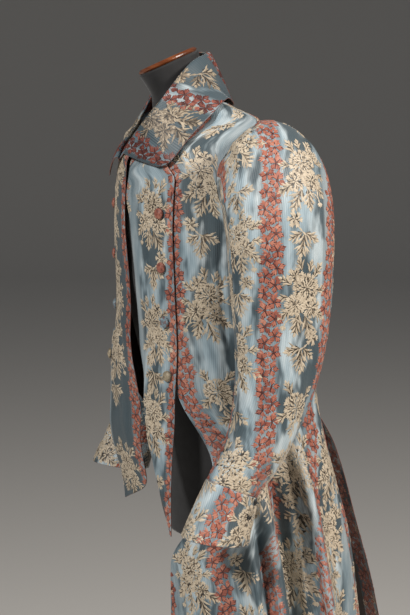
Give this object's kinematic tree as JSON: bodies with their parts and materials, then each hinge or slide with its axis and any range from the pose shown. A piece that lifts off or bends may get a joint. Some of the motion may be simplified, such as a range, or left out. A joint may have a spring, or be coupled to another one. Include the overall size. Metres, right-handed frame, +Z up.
{
  "type": "banyan on a dress form",
  "caption": "Fitted full-length silk banyan with sewn-in waistcoat fronts, turned-down collar, bent two-piece sleeves and flared pleated skirts, on a limbless dress form with a pole stand",
  "frame": {"origin": "on the floor under the middle of the whole object's box", "axes": "+Z up, the wearer faces -Y, the wearer's left is +X"},
  "size_m": [0.6956, 0.5868, 1.5669],
  "materials": {
    "brocade": "ribbed light blue silk brocaded with cream flower sprays and coral red garlands",
    "button_silk": "the same silk drawn over round button moulds",
    "form_cloth": "close dark grey cotton, stretched smooth",
    "varnished_wood": "turned hardwood, red-brown varnish"
  },
  "bodies": {
    "root": {"front_left": "brocade", "front_right": "brocade", "back_left": "brocade", "back_right": "brocade", "waistcoat_left": "brocade", "waistcoat_right": "brocade", "button_left_1": "button_silk", "button_left_2": "button_silk", "button_left_3": "button_silk", "button_left_4": "button_silk", "button_right_1": "button_silk", "button_right_2": "button_silk", "button_right_3": "button_silk", "button_right_4": "button_silk", "sleeve_upper_left": "brocade", "sleeve_upper_right": "brocade", "sleeve_under_left": "brocade", "sleeve_under_right": "brocade", "cuff_left": "brocade", "cuff_right": "brocade", "collar": "brocade", "form_torso": "form_cloth", "form_cap": "varnished_wood", "form_end_plate": "varnished_wood", "stand_pole": "varnished_wood", "stand_foot": "varnished_wood"}
  },
  "joints": []
}
